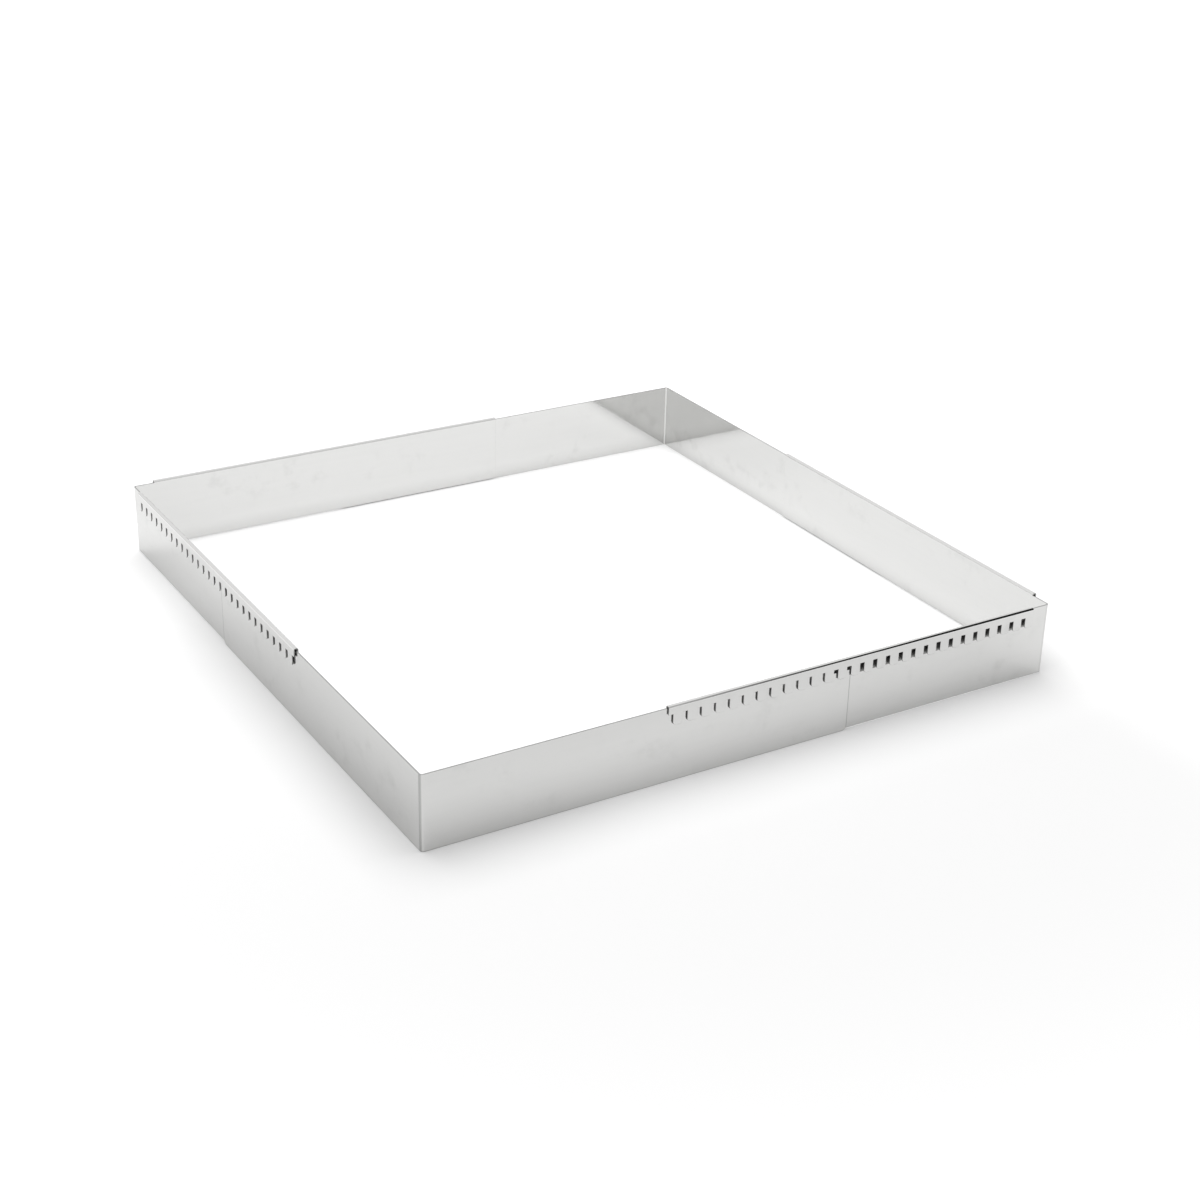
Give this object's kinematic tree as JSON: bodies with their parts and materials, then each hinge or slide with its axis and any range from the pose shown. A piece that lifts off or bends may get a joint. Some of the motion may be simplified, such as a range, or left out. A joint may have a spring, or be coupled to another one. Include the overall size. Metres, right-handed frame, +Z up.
{
  "type": "adjustable cake frame",
  "caption": "Rectangular bottomless baking frame of bent steel corners that slide along each other and lock by a comb of notches over pressed tongues.",
  "frame": {"origin": "on the table, under the middle of the frame's outline", "axes": "+X from the front corner to the right corner, +Y from the front corner to the left corner, +Z up"},
  "size_m": [0.4596, 0.4696, 0.0513],
  "materials": {
    "polished_steel": "bright, finely polished stainless sheet"
  },
  "bodies": {
    "front": {"front_corner": "polished_steel"},
    "right": {"right_corner": "polished_steel"},
    "left": {"left_corner": "polished_steel"},
    "back": {"back_corner": "polished_steel"}
  },
  "joints": [
    {"name": "right_slide", "type": "slide", "parent": "front", "child": "right", "axis": [1, 0, 0], "range_m": [-0.14, 0.12]},
    {"name": "left_slide", "type": "slide", "parent": "front", "child": "left", "axis": [0, 1, 0], "range_m": [-0.15, 0.11]},
    {"name": "back_slide", "type": "slide", "parent": "right", "child": "back", "axis": [0, 1, 0], "range_m": [-0.15, 0.11]}
  ],
  "couplings": [
    {"joint": "back_slide", "follows": "left_slide", "ratio": 1}
  ]
}
